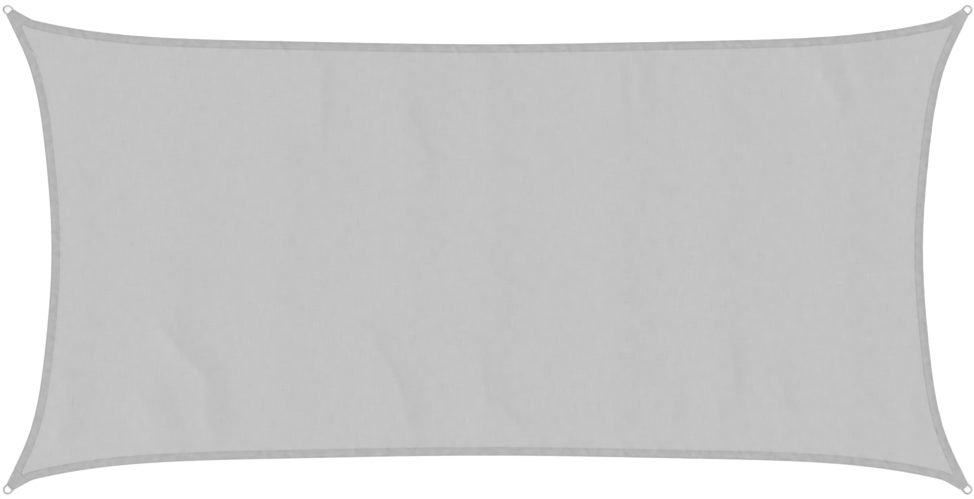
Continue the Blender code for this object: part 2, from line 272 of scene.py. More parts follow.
# inset of a row of stitches, how much darker it is painted, shift of its unevenness: painted
# shade in the row's dimples, together with its thread and needle holes
ROW_PAINTED_SHADES = ((ROW_OUTER, 0.045, 51.0), (ROW_INNER, 0.050, 57.0))
ROW_SHADE_REACH = 0.0042
ROW_UNEVEN_SIZE = (0.040, 0.040)

FIBRE_SIZE = (0.0006, 0.0006)     # of the thread's fibres
FIBRE_TONE = 0.06
FIBRE_HEIGHT = 0.00004
WORN_SIZE = (0.05, 0.05)          # of its worn places
WORN_TONE = 0.05
LINE_SIZE = (0.012, 0.00025)      # of the wire's fine lines
LINE_TONE = 0.03
LINE_ROUGHNESS = 0.035
LINE_HEIGHT = 0.00002
SPOT_SIZE = (0.006, 0.005)        # of its dull spots
SPOT_TONE = 0.04
SPOT_ROUGHNESS = 0.05

# -------- view and light
PHOTO_SIZE = (974, 499)
PHOTO_CENTRE = (487.15, 249.95)   # of the sail, in the photograph's pixels
RINGS_APART = 960                 # along the sail, in those pixels
METRES_PER_PIXEL = RING_SPAN_X / RINGS_APART
LENS = 100.0
SENSOR = 36.0
SKY_STRENGTH = 0.74
SUN_STRENGTH = 1.78
SUN_ANGLE = math.radians(30)
SUN_TURN = (0.0, math.radians(-45), math.radians(20))
FLOOR_HALF = 150.0
FLOOR_DROP = 0.0002               # keeps the floor clear of what lies on it
FLOOR_GREY = 0.9
FLOOR_ROUGHNESS = 0.9
VIEW_END = 200.0


# -------- small helpers
def share(value, start, end):
    """How far value is from start to end, held between 0 and 1."""
    return np.clip((value - start) / (end - start), 0.0, 1.0)


def eased(value):
    """From 0 to 1 with a gentle start and end."""
    return value * value * (3 - 2 * value)


def unit(vector):
    return vector / np.linalg.norm(vector, axis=-1, keepdims=True)


def run_along(points):
    """Length along a line of points, from its first."""
    steps = np.linalg.norm(np.diff(points, axis=0), axis=1)
    return np.concatenate(([0.0], np.cumsum(steps)))


def cross(a, b):
    return a[0] * b[1] - a[1] * b[0]


def link(obj):
    bpy.context.scene.collection.objects.link(obj)
    return obj


def mesh_piece(name, points, blocks, materials):
    """A smooth object of its points and of blocks of faces."""
    mesh = bpy.data.meshes.new(name)
    faces = [face for block in blocks for face in np.asarray(block).tolist()]
    mesh.from_pydata(np.reshape(points, (-1, 3)).tolist(), [], faces)
    mesh.update()
    for material in materials:
        mesh.materials.append(material)
    mesh.shade_smooth()
    return link(bpy.data.objects.new(name, mesh))


def add_flat(obj, flat):
    """Keeps each point's place in the flat cut cloth, which the weave follows."""
    layer = obj.data.attributes.new("flat", "FLOAT_VECTOR", "POINT")
    values = np.zeros((len(flat), 3), np.float32)
    values[:, :2] = flat
    layer.data.foreach_set("vector", values.ravel())


# -------- outline
def ring_way():
    """Outwards along a ring, in the quarter with x, y >= 0."""
    return np.array((math.cos(RING_ANGLE), math.sin(RING_ANGLE)))


def bar_way():
    """Along its bar, towards the long edge."""
    return np.array((-math.sin(RING_ANGLE), math.cos(RING_ANGLE)))


def bar_middle():
    return np.array((RING_SPAN_X / 2, RING_SPAN_Y / 2)) - ring_way() * RING_LEG


def tip_end(side):
    """Where the long edge (1) or the short edge (-1) would reach the bar."""
    return bar_middle() + bar_way() * (side * TIP_WIDTH / 2)


def arc(edge, t):
    """How far out an edge lies at t."""
    squared = (t / edge.turn) ** 2
    return edge.middle + sum(a * squared ** k for k, a in enumerate(edge.bow, 1))


def turn_point(edge):
    """Where the edge turns straight, in the quarter with x, y >= 0."""
    place = (edge.turn, float(arc(edge, edge.turn)))
    return np.array(place if edge is LONG else place[::-1])


def straight_way(edge):
    return unit(tip_end(edge.side) - turn_point(edge))


def inner_start(edge, inset):
    """Start of the straight run of a line at that inset."""
    way = straight_way(edge)
    inward = np.array((way[1], -way[0])) * edge.side
    return turn_point(edge) + inward * inset


def crossing(inset):
    """Where lines at one inset from both edges' straight runs cross."""
    way_a, way_b = straight_way(LONG), straight_way(SHORT)
    start_a, start_b = inner_start(LONG, inset), inner_start(SHORT, inset)
    return start_a + way_a * (cross(start_b - start_a, way_b) / cross(way_a, way_b))


def corner_end(edge, inset):
    """End of a line at that inset: on the mitre between two hems, or at the cut tip."""
    mitre = crossing(inset)
    tip = bar_middle() - ring_way() * TIP_SETBACK
    if (mitre - tip) @ ring_way() < 0:
        return mitre
    start, way = inner_start(edge, inset), straight_way(edge)
    return start + way * (((tip - start) @ ring_way()) / (way @ ring_way()))


def rim(edge, inset, cells, tip_cells):
    """A line inside an edge (outside it where inset < 0) as rows of (t, d)."""
    t = np.linspace(-edge.turn, edge.turn, 2 * cells + 1)
    step = edge.turn / SLOPE_STEPS
    slope = (arc(edge, t + step) - arc(edge, t - step)) / (2 * step)
    way = straight_way(edge) if edge is LONG else straight_way(edge)[::-1]
    # At the turn the line steps inwards half way between the arc's and the run's slope.
    slope[-1] = (slope[-1] + way[1] / way[0]) / 2
    slope[0] = -slope[-1]
    line = np.stack((t, arc(edge, t)), axis=1)
    line += unit(np.stack((slope, -np.ones_like(t)), axis=1)) * inset
    end = corner_end(edge, inset)
    end = end if edge is LONG else end[::-1]
    last = line[-1]
    run = last + (end - last) * np.linspace(0, 1, tip_cells + 1)[1:, None]
    whole = np.concatenate((run[::-1] * (-1, 1), line, run))
    reach = min(TURN_ROUND, np.linalg.norm(end - last))
    bend = (unit(end - last) - unit(last - line[-3])) * reach / 4
    away = np.hypot(np.abs(whole[:, 0]) - last[0], whole[:, 1] - last[1])
    near = np.maximum(0, 1 - away / reach) ** 2
    return whole + np.stack((np.sign(whole[:, 0]) * near, near), axis=1) * bend


def placed(line, edge, side):
    """Rows of (t, d) as rows of (x, y) on that side of the sail."""
    t, d = line[:, 0], line[:, 1] * side
    return np.stack((t, d) if edge is LONG else (d, t), axis=1)


# -------- how the cloth lies
def ridge(x, y, start, end, left, right, height):
    """Height that a rounded ridge adds, with a half width for its left and its right."""
    start, way = np.array(start), np.array(end) - np.array(start)
    along = np.clip(((x - start[0]) * way[0] + (y - start[1]) * way[1]) / (way @ way), 0, 1)
    away_x, away_y = x - start[0] - way[0] * along, y - start[1] - way[1] * along
    away = np.hypot(away_x, away_y)
    turned = away_x / np.maximum(away, 1e-9)
    half_width = (left + right) / 2 + (right - left) / 2 * turned
    return height * np.exp(-(away / half_width) ** 2)


def ripple(x, y):
    """A sum of long and short waves in all directions."""
    draw = np.random.default_rng(RIPPLE_SEED)
    total = np.zeros_like(x)
    for length in np.geomspace(*RIPPLE_LENGTHS, RIPPLE_WAVES):
        angle, phase = draw.uniform(0, math.tau, 2)
        way = x * math.cos(angle) + y * math.sin(angle)
        total += math.sqrt(length) * np.sin(way * math.tau / length + phase)
    return RIPPLE * total


def bar_distance(x, y):
    middle = bar_middle()
    return np.hypot(np.abs(x) - middle[0], np.abs(y) - middle[1])


def inside(x, y):
    """Distance to the nearest edge, measured along an axis."""
    return np.minimum(arc(LONG, x) - np.abs(y), arc(SHORT, y) - np.abs(x))


def lay(x, y):
    """Height of the cloth's underside: the solid's ridges, with creases and ripples."""
    relief = np.max([ridge(x, y, *row[1:]) for row in RIDGES], axis=0)
    for fold_x, half_width, height in PACKING_FOLDS:
        relief += height * np.exp(-((x - fold_x) / half_width) ** 2)
    for _, start, end, half_width, height in CREASES:
        relief += ridge(x, y, start, end, half_width, half_width, height)
    calm = HEM_CALM + (1 - HEM_CALM) * eased(share(inside(x, y), 0.0, CALM_REACH))
    lifted = relief * calm - SETTLE + ripple(x, y)
    settled = (lifted + np.hypot(lifted, SOFT_LANDING)) / 2
    lying = eased(share(bar_distance(x, y), LIFT_FULL, LIFT_END))
    return settled * lying + (PATCH + GAP) * (1 - lying)


def outside_patch(x, y):
    """0 under the corner patch, rising to 1 a little way beyond it."""
    return eased(share(bar_distance(x, y), PATCH_REACH, PATCH_REACH + PATCH_FADE))


def pucker_rows():
    """For each edge, columns of (t, height, half width, slant) of its puckers."""
    draw = np.random.default_rng(PUCKER_SEED)
    least_slant, long_slant, short_slant = PUCKER_SLANTS
    rows = {}
    for name, edge, _ in EDGES:
        reach = edge.turn + PUCKER_PAST
        t = np.arange(-reach, reach, PUCKER_PITCH)
        count = len(t)
        t += draw.uniform(-PUCKER_JITTER, PUCKER_JITTER, count) * PUCKER_PITCH
        height = PUCKER_LEAST + (1 - PUCKER_LEAST) * draw.uniform(0, 1, count) ** 2
        height *= np.where(draw.uniform(0, 1, count) < PUCKER_DOWN, PUCKER_DOWN_HEIGHT, 1)
        half_width = draw.uniform(*PUCKER_WIDTHS, count)
        slant = draw.uniform(least_slant, long_slant if edge is LONG else short_slant, count)
        slant *= np.where(draw.uniform(0, 1, count) < 0.5, -1, 1)
        rows[name] = (t, height * PUCKER_HEIGHT, half_width, slant)
    return rows


def pucker(rows, points, t, inset):
    """Height that an edge's puckers add along a line of points that lie at t and inset."""
    middle, height, half_width, slant = rows
    away = t[:, None] - middle - slant * (inset[:, None] - HEM_WIDTH / 2)
    heights = (height * np.exp(-(away / half_width) ** 2)).sum(axis=1)
    run = run_along(points)
    left = eased(share(np.minimum(run, run[-1] - run), 0.0, PUCKER_ENDS))
    left *= np.interp(inset, PUCKER_INSETS, PUCKER_SHARES)
    return heights * left * outside_patch(points[:, 0], points[:, 1])


def hem_rise(inset):
    """Height of the hem's upper layer over its lower one, without puckers."""
    between = share(inset, ROW_OUTER, ROW_INNER)
    rise = LAYER_STEP + HEM_BULGE * np.sin(math.pi * between) ** 2
    for row in (ROW_OUTER, ROW_INNER):
        rise -= ROW_DIMPLE * np.exp(-((inset - row) / ROW_HALF_WIDTH) ** 2)
    return rise


def hem_bottom(rows, points, t, inset):
    """Height of the sheet's middle along a line of the panel or the hem's lower layer."""
    lying = lay(points[:, 0], points[:, 1])
    puckered = np.maximum(pucker(rows, points, t, inset), -PUCKER_SINK * lying)
    return lying + SHEET_UP + puckered


def hem_top(rows, points, t, inset):
    """Height of the hem's upper layer along a line of points that lie at t and inset."""
    crossed = LAYER_STEP + CORNER_LAYERS
    free = outside_patch(points[:, 0], points[:, 1])
    step = crossed + (hem_rise(inset) - crossed) * free
    return hem_bottom(rows, points, t, inset) + step


# -------- the cloth
def panel_grid():
    """Points (x, y) of the panel inside its margin."""
    top = rim(LONG, HEM_WIDTH, LONG.cells, TIP_CELLS)
    right = rim(SHORT, HEM_WIDTH, SHORT.cells, TIP_CELLS)
    u, v = top[:, 0] / top[-1, 0], right[:, 0] / right[-1, 0]
    x = u[None, :] * right[:, 1][:, None]
    y = v[:, None] * top[:, 1][None, :]
    return np.stack((x, y), axis=-1)[MARGIN_CELLS:-MARGIN_CELLS, MARGIN_CELLS:-MARGIN_CELLS]


def grid_faces(index):
    """Quads between the rows and columns of point numbers."""
    return np.stack((index[:-1, :-1], index[:-1, 1:], index[1:, 1:], index[1:, :-1]),
                    axis=-1).reshape(-1, 4)


def beyond_edge(inset, layer):
    """How far outside the edge a point of the folded hem lies in the flat cut."""
    if layer == "fold":
        return HEM_ROUNDING
    if layer == "upper":
        return inset + HEM_FOLD
    return 2 * HEM_WIDTH - inset + HEM_FOLD


def edge_levels(edge, side, ring, rows):
    """From the panel's ring of points outwards: (points, place in the cut, inset)."""
    fine = np.empty((2 * len(ring) - 1, 2))
    fine[::2], fine[1::2] = ring, (ring[:-1] + ring[1:]) / 2
    cells = edge.cells * 2 - MARGIN_CELLS * 2
    border = placed(rim(edge, HEM_WIDTH, cells, 2 * TIP_CELLS), edge, side)
    way = border - fine
    for part in MARGIN_SHARES:
        level = fine + way * part
        inset = HEM_WIDTH + np.linalg.norm(way, axis=1) * (1 - part)
        t = level[:, 0] if edge is LONG else level[:, 1]
        yield np.column_stack((level, hem_bottom(rows, level, t, inset))), level, UNSEWN
    for inset, layer, height in HEM_SECTION:
        line = rim(edge, inset, cells, 2 * TIP_CELLS)
        level, insets = placed(line, edge, side), np.full(len(line), inset)
        low = hem_bottom(rows, level, line[:, 0], insets)
        high = hem_top(rows, level, line[:, 0], insets)
        cut = level
        if layer != "lower":
            beyond = beyond_edge(inset, layer)
            cut = placed(rim(edge, -beyond, cells, 2 * TIP_CELLS), edge, side)
        points = np.column_stack((level, low + (high - low) * height))
        yield points, cut, inset if layer == "upper" else UNSEWN


def make_cloth(materials, rows):
    """The panel and its folded hem as one sheet, one strip of hem for each edge."""
    panel = panel_grid()
    flat = panel.reshape(-1, 2)
    height = lay(flat[:, 0], flat[:, 1]) + SHEET_UP
    points, cuts = [np.column_stack((flat, height))], [flat]
    insets = [np.full(len(flat), UNSEWN)]
    index = np.arange(len(flat)).reshape(panel.shape[:2])
    quads, triangles, hem_strips = [grid_faces(index)], [], []
    count = len(flat)
    for name, edge, side in EDGES:
        last = -1 if side > 0 else 0
        place = (last, slice(None)) if edge is LONG else (slice(None), last)
        levels = []
        for level, cut, inset in edge_levels(edge, side, panel[place], rows[name]):
            points.append(level)
            cuts.append(cut)
            insets.append(np.full(len(level), inset))
            levels.append(count + np.arange(len(level)))
            count += len(level)
        strip = grid_faces(np.array(levels))
        # The strip's first row has twice the cells of the panel's, so triangles join them.
        coarse, first = index[place], levels[0]
        a, b = coarse[:-1], coarse[1:]
        fine_a, fine_m, fine_b = first[:-1:2], first[1::2], first[2::2]
        joint = np.concatenate((np.stack((a, fine_m, fine_a), axis=1),
                                np.stack((a, b, fine_m), axis=1),
                                np.stack((b, fine_b, fine_m), axis=1)))
        if name in ("front", "right"):      # turned, so that its face is up
            strip, joint = strip[:, ::-1], joint[:, ::-1]
        quads.append(strip)
        triangles.append(joint)
        hem_strips.append(np.arange(len(strip)) // (len(first) - 1) >= len(MARGIN_SHARES) - 1)
    cloth = mesh_piece("sail_cloth_sheet", np.concatenate(points), quads + triangles,
                       materials)
    which = np.zeros(len(cloth.data.polygons), np.int32)
    hem_from = len(quads[0])
    hem = np.concatenate(hem_strips)
    which[hem_from:hem_from + len(hem)] = hem
    cloth.data.polygons.foreach_set("material_index", which)
    add_flat(cloth, np.concatenate(cuts))
    layer = cloth.data.attributes.new("hem_inset", "FLOAT", "POINT")
    layer.data.foreach_set("value", np.concatenate(insets).astype(np.float32))
    return cloth


# -------- stitches
def along_line(points, at):
    """Places at the given lengths along a line of points, and the line's directions."""
    run = run_along(points)
    step = STITCH_LENGTH / 2
    ends = [np.stack([np.interp(at + shift, run, points[:, k]) for k in range(3)], axis=1)
            for shift in (-step, step)]
    return (ends[0] + ends[1]) / 2, unit(ends[1] - ends[0])


def stitch_line(points, draw):
    """Middles and directions of the stitches of one row."""
    length = run_along(points)[-1]
    at = np.arange(STITCH_PITCH / 2, length - STITCH_PITCH / 2, STITCH_PITCH)
    at = at + draw.uniform(-STITCH_JITTER, STITCH_JITTER, len(at)) * STITCH_PITCH
    middle, way = along_line(points, at)
    sway = draw.uniform(-STITCH_SWAY, STITCH_SWAY, len(at))
    way[:, 0], way[:, 1] = (way[:, 0] - sway * way[:, 1], way[:, 1] + sway * way[:, 0])
    return middle, unit(way)


def stitch_piece(name, rows, up, material):
    """Short threads, thick in their middle, whose ends go down into the cloth."""
    middle = np.concatenate([row[0] for row in rows])
    way = np.concatenate([row[1] for row in rows])
    lift = np.array((0.0, 0.0, up))
    side = unit(np.cross(way, lift))
    corners = ((1, 0), (0, 1), (-1, 0), (0, -1))
    points = np.stack([middle + way * (along * STITCH_LENGTH)
                       + lift * (THREAD * (rise + swell * q / 2))
                       + side * (THREAD * swell * p / 2)
                       for along, rise, swell in STITCH_RINGS for p, q in corners], axis=1)
    faces = [(k, (k + 1) % 4, (k + 1) % 4 + 4, k + 4) for k in range(4)]
    faces += [tuple(index + 4 for index in face) for face in faces]
    faces += [(3, 2, 1, 0), (8, 9, 10, 11)]
    first = np.arange(len(middle)) * len(STITCH_RINGS) * len(corners)
    all_faces = (first[:, None, None] + np.array(faces)).reshape(-1, 4)
    if up < 0:
        all_faces = all_faces[:, ::-1]
    return mesh_piece(name, points, [all_faces], [material])


def hem_stitch_rows(rows, on_top, draw):
    """The two rows of each edge, as far as no patch covers them."""
    found = []
    for name, edge, side in EDGES:
        for inset in (ROW_OUTER, ROW_INNER):
            line = rim(edge, inset, 2 * edge.cells, 2 * TIP_CELLS)
            place, insets = placed(line, edge, side), np.full(len(line), inset)
            if on_top:
                z = hem_top(rows[name], place, line[:, 0], insets)
            else:
                z = hem_bottom(rows[name], place, line[:, 0], insets) - UNDER_THREAD
            middle, way = stitch_line(np.column_stack((place, z)), draw)
            shown = corner_frame(middle[:, 0], middle[:, 1])[0] < -PATCH_REACH
            found.append((middle[shown], way[shown]))
    return found


# -------- corner patches
def corner_frame(x, y):
    """(outward, across) from the nearest ring's bar, across towards the long edge."""
    from_bar = np.stack((np.abs(x), np.abs(y)), axis=-1) - bar_middle()
    return from_bar @ ring_way(), from_bar @ bar_way()


def at_corner(points, side_x, side_y):
    """Points (outward, across, up) of one corner, in the sail's own axes."""
    plane = (bar_middle() + points[..., 0:1] * ring_way() + points[..., 1:2] * bar_way())
    return np.concatenate((plane * (side_x, side_y), points[..., 2:3]), axis=-1)


def tongue_height(outward):
    """Height of the upper tongue's middle surface."""
    slope = eased(share(outward, -PATCH_SLOPE_END, -TIP_SETBACK))
    return PATCH_PRESSED + (TONGUE_HIGH - PATCH_PRESSED) * slope


def patch_path():
    """Middle line of the folded patch, as rows of (outward, up), tongue to tongue."""
    # The upper tongue leaves the wrap on the tangent from the end of the panel.
    foot = np.array((-TIP_SETBACK, TONGUE_HIGH - BAR_HEIGHT))
    last = math.atan2(foot[1], foot[0]) - math.acos(WRAP_RADIUS / math.hypot(*foot))
    turn = np.linspace(-math.pi / 2, last, PATCH_WRAP_ROWS + 1)
    wrap = np.stack((np.cos(turn), np.sin(turn)), axis=1) * WRAP_RADIUS + (0, BAR_HEIGHT)
    rim_radius = PATCH_SHEET / 2
    rounded = PATCH_REACH - rim_radius * (1 - np.sin(np.radians((0,) + PATCH_ROUND)))[::-1]
    tongue = np.linspace(PATCH_REACH - rim_radius, TIP_SETBACK, PATCH_ROWS + 1)[1:]
    stops = np.concatenate((rounded, tongue))
    low = np.column_stack((-stops, np.full(len(stops), PATCH / 2)))
    high = np.column_stack((-stops, tongue_height(-stops)))
    part = np.linspace(0, 1, PATCH_TAPER_ROWS + 1)[1:-1, None]
    to_wrap = low[-1] + (wrap[0] - low[-1]) * part
    from_wrap = wrap[-1] + (high[-1] - wrap[-1]) * part
    return np.concatenate((low, to_wrap, wrap, from_wrap, high[::-1]))


def patch_half_width(outward, side):
    """Half width towards the long edge (1) or the short edge (-1)."""
    way = straight_way(LONG if side > 0 else SHORT)
    spread = abs(cross(way, ring_way())) / (way @ ring_way())
    tongue = TIP_WIDTH / 2 - PATCH_INSET - np.minimum(outward, -TIP_SETBACK) * spread
    narrow = eased(share(outward, *PATCH_NARROW))
    return tongue + (PATCH_NECK / 2 - tongue) * narrow


def patch_surface():
    """Middle surface, normals and rounding of the patch, in its corner's own axes."""
    path = patch_path()
    ahead = np.gradient(path, axis=0)
    normal = unit(np.stack((-ahead[:, 1], ahead[:, 0]), axis=1))
    outward, up = path[:, 0:1], path[:, 1:2]
    rim_radius = PATCH_SHEET / 2
    inner = np.linspace(-1, 1, PATCH_COLUMNS + 1)[None, :]
    half = np.where(inner > 0, patch_half_width(outward, 1), patch_half_width(outward, -1))
    across = inner * (half - rim_radius)
    angles = np.radians(PATCH_ROUND)[None, :]
    drawn_in = rim_radius * (1 - np.sin(angles))
    far = patch_half_width(outward, 1) - drawn_in
    near = drawn_in - patch_half_width(outward, -1)
    across = np.concatenate((near[:, ::-1], across, far), axis=1)
    turned = np.cos(angles[0])[::-1]
    columns = np.concatenate((turned, np.ones(PATCH_COLUMNS + 1), turned[::-1]))
    rows = np.ones(len(path))
    rows[:len(turned)], rows[-len(turned):] = turned, turned[::-1]
    outward = np.broadcast_to(outward, across.shape)
    middle = np.stack((outward, across, np.broadcast_to(up, across.shape)), axis=-1)
    square = np.zeros(middle.shape)
    square[..., 0], square[..., 2] = normal[:, 0:1], normal[:, 1:2]
    return middle, square, rows[:, None] * columns[None, :]


def patch_rim_distance(outward, across):
    """Distance to the nearest side of a tongue, or to its end."""
    sides = np.minimum(patch_half_width(outward, 1) - across,
                       patch_half_width(outward, -1) + across)
    return np.minimum(sides, outward + PATCH_REACH)


def patch_relief(outward, across):
    """How far the sewn tongue stands over or under its plain thickness."""
    rim_distance = patch_rim_distance(outward, across)
    margin = 1 - eased(share(rim_distance, PATCH_MARGIN - PATCH_MARGIN_STEP, PATCH_MARGIN))
    relief = PATCH_MARGIN_RISE * margin
    seams = [rim_distance - PATCH_SEAM] + [outward + seam for seam in PATCH_BAR_SEAMS]
    for away in seams:
        relief -= PATCH_DIMPLE * np.exp(-(away / PATCH_DIMPLE_WIDTH) ** 2)
    sewn = eased(share(-outward, TIP_SETBACK, PATCH_BAR_SEAMS[0]))
    return relief * sewn


def make_patch(name, side_x, side_y, material):
    """The folded strip as one closed piece with a rounded rim."""
    middle, square, rounding = patch_surface()
    draw = np.random.default_rng(PATCH_SEED + 2 * side_x + side_y)
    relief = patch_relief(middle[..., 0], middle[..., 1])
    slow, fast = PATCH_WAVE_RATES
    waves = sum(np.sin(middle[..., 0] * draw.uniform(slow, fast)
                       + middle[..., 1] * draw.uniform(-fast, fast)
                       + draw.uniform(0, PATCH_WAVE_PHASE))
                for _ in range(PATCH_WAVES)) * PATCH_WAVE_HEIGHT
    rows = len(middle)
    upper = (np.arange(rows) >= rows // 2)[:, None]
    wrap = share(np.arange(rows), rows // 2 - PATCH_WRAP_ROWS // 2, rows // 2)[:, None]
    plain = (PATCH + (PATCH_SHEET - PATCH) * wrap) / 2 * rounding
    outer = np.where(upper, plain + (relief + waves) * rounding, plain)
    face_out = middle - square * outer[..., None]
    face_in = middle + square * plain[..., None]
    shape = middle.shape[:2]
    index_out = np.arange(middle[..., 0].size).reshape(shape)
    border = np.ones(shape, bool)
    border[1:-1, 1:-1] = False
    index_in = np.where(border, index_out, 0)
    index_in[~border] = index_out.size + np.arange((~border).sum())
    points = np.concatenate((face_out.reshape(-1, 3), face_in[~border]))
    faces = np.concatenate((grid_faces(index_out)[:, ::-1], grid_faces(index_in)))
    if side_x * side_y < 0:
        faces = faces[:, ::-1]
    patch = mesh_piece("corner_patch_%s_folded" % name,
                       at_corner(points, side_x, side_y), [faces], [material])
    run = run_along(patch_path())[:, None]
    flat = np.stack((middle[..., 1], np.broadcast_to(run, shape)), axis=-1)
    flat = flat + (side_x, side_y)
    add_flat(patch, np.concatenate((flat.reshape(-1, 2), flat[~border])))
    return patch


def patch_stitches(name, side_x, side_y, material):
    """Stitches round the upper tongue and across it near the bar."""
    draw = np.random.default_rng(PATCH_STITCH_SEED + 2 * side_x + side_y)
    stops = np.linspace(PATCH_BAR_SEAMS[0], PATCH_REACH - PATCH_SEAM, PATCH_SEAM_POINTS)
    far = np.column_stack((-stops, patch_half_width(-stops, 1) - PATCH_SEAM))
    near = np.column_stack((-stops, PATCH_SEAM - patch_half_width(-stops, -1)))
    lines = [far, np.array((far[-1], near[-1])), near]
    for seam in PATCH_BAR_SEAMS:
        wide = [patch_half_width(-seam, side) - PATCH_SEAM for side in (1, -1)]
        lines.append(np.array(((-seam, wide[0]), (-seam, -wide[1]))))
    rows = []
    for line in lines:
        z = tongue_height(line[:, 0]) + PATCH_SHEET / 2 - PATCH_DIMPLE
        placed_line = at_corner(np.column_stack((line, z)), side_x, side_y)
        rows.append(stitch_line(placed_line, draw))
    return stitch_piece("corner_patch_%s_stitches" % name, rows, 1, material)


# -------- rings
def ring_path():
    """Middle line of the D-ring: (outward, across), once round."""
    radius = (RING_INSIDE + RING_WIRE) / 2
    angle = np.linspace(-math.pi / 2, math.pi / 2, RING_BOW_STEPS + 1)
    bow = np.stack((RING_LEG + radius * np.cos(angle), radius * np.sin(angle)), axis=1)
    parts = [bow]
    for side, first in ((1, 0.0), (-1, math.pi / 2)):
        turn = first + np.linspace(0, math.pi / 2, RING_BEND_STEPS + 1)
        parts.append(np.stack((RING_BEND - RING_BEND * np.sin(turn),
                               side * (radius - RING_BEND) + RING_BEND * np.cos(turn)),
                              axis=1))
    path = []
    for part, following in zip(parts, parts[1:] + parts[:1]):
        path.append(part)
        mix = np.linspace(0, 1, RING_STRAIGHT_STEPS + 1)[1:-1, None]
        path.append(part[-1] + (following[0] - part[-1]) * mix)
    return np.concatenate(path)


def make_ring(name, side_x, side_y, material):
    """A round wire swept along the ring's path, tilted until its bow lies down."""
    path = ring_path()
    ahead = np.roll(path, -1, axis=0) - np.roll(path, 1, axis=0)
    normal = unit(np.stack((ahead[:, 1], -ahead[:, 0]), axis=1))
    angle = np.linspace(0, math.tau, RING_SIDES, endpoint=False)
    plane = path[:, None, :] + normal[:, None, :] * np.cos(angle)[None, :, None] * (RING_WIRE / 2)
    height = np.broadcast_to(np.sin(angle) * RING_WIRE / 2, plane.shape[:2])
    reach = RING_LEG + (RING_INSIDE + RING_WIRE) / 2
    lean = math.asin((BAR_HEIGHT - RING_WIRE / 2) / reach)
    points = np.stack((plane[..., 0] * math.cos(lean) + height * math.sin(lean),
                       plane[..., 1],
                       BAR_HEIGHT + height * math.cos(lean) - plane[..., 0] * math.sin(lean)),
                      axis=-1)
    index = np.arange(points[..., 0].size).reshape(points.shape[:2])
    faces = grid_faces(np.pad(index, ((0, 1), (0, 1)), "wrap"))
    if side_x * side_y < 0:
        faces = faces[:, ::-1]
    ring = mesh_piece("d_ring_%s_wire" % name,
                      at_corner(points, side_x, side_y), [faces], [material])
    around = angle * RING_WIRE / 2
    flat = np.broadcast_arrays(run_along(path)[:, None], around[None, :])
    add_flat(ring, np.stack(flat, axis=-1).reshape(-1, 2))
    return ring


# -------- materials
def add_node(tree, kind, inputs=None, **settings):
    made = tree.nodes.new(kind)
    for key, value in settings.items():
        setattr(made, key, value)
    for key, value in (inputs or {}).items():
        if isinstance(value, bpy.types.NodeSocket):
            tree.links.new(value, made.inputs[key])
        else:
            made.inputs[key].default_value = value
    return made


def reckon(tree, operation, *values):
    """Output of one Math node."""
    return add_node(tree, "ShaderNodeMath", dict(enumerate(values)),
                    operation=operation).outputs[0]


def new_material(name, roughness, metallic=0.0, specular=0.5):
    material = bpy.data.materials.new(name)
    material.use_nodes = True
    shader = material.node_tree.nodes["Principled BSDF"]
    shader.inputs["Roughness"].default_value = roughness
    shader.inputs["Metallic"].default_value = metallic
    shader.inputs["Specular IOR Level"].default_value = specular
    return material, material.node_tree, shader


def flat_place(tree):
    """The place in the flat cut cloth, or along and around the wire."""
    return add_node(tree, "ShaderNodeAttribute", attribute_name="flat").outputs["Vector"]


def spread_noise(tree, flat, sizes, detail, shift):
    """Noise of the given feature sizes (along X, along Y), about 0 and mostly within 1."""
    scale = (1 / sizes[0], 1 / sizes[1], 1.0)
    place = add_node(tree, "ShaderNodeMapping",
                     {"Vector": flat, "Location": (shift, shift, shift), "Scale": scale})
    noise = add_node(tree, "ShaderNodeTexNoise",
                     {"Vector": place.outputs[0], "Scale": 1.0, "Detail": detail})
    return reckon(tree, "MULTIPLY_ADD", noise.outputs[0], NOISE_GAIN, -NOISE_GAIN / 2)


def cubed(tree, value):
    return reckon(tree, "MULTIPLY", value, reckon(tree, "MULTIPLY", value, value))


def mixed_sum(tree, parts):
    """Sum of (socket, weight)."""
    total = 0.0
    for socket, weight in parts:
        total = reckon(tree, "MULTIPLY_ADD", socket, weight, total)
    return total


def dress(tree, shader, colour, factor, height, distance, strength=1.0):
    """Gives the shader one grey, times a factor that varies, and a bump."""
    tint = add_node(tree, "ShaderNodeVectorMath",
                    {0: (colour, colour, colour), 1: factor}, operation="MULTIPLY")
    bump = add_node(tree, "ShaderNodeBump",
                    {"Height": height, "Distance": distance, "Strength": strength})
    tree.links.new(tint.outputs[0], shader.inputs["Base Color"])
    tree.links.new(bump.outputs[0], shader.inputs["Normal"])


def knit(tree, x, y):
    """Height of the knit: chains along Y, with loops that lean to both sides by turns."""
    chain = reckon(tree, "SINE", reckon(tree, "MULTIPLY", x, math.tau / WALE_PITCH))
    lean = reckon(tree, "MULTIPLY", x, math.pi / WALE_PITCH)
    loop_phase = reckon(tree, "MULTIPLY_ADD", y, math.tau / COURSE_PITCH,
                        reckon(tree, "MULTIPLY", reckon(tree, "SINE", lean), KNIT_LEAN))
    loop = reckon(tree, "SINE", loop_phase)
    return mixed_sum(tree, ((chain, CHAIN_SHARE), (loop, LOOP_SHARE)))


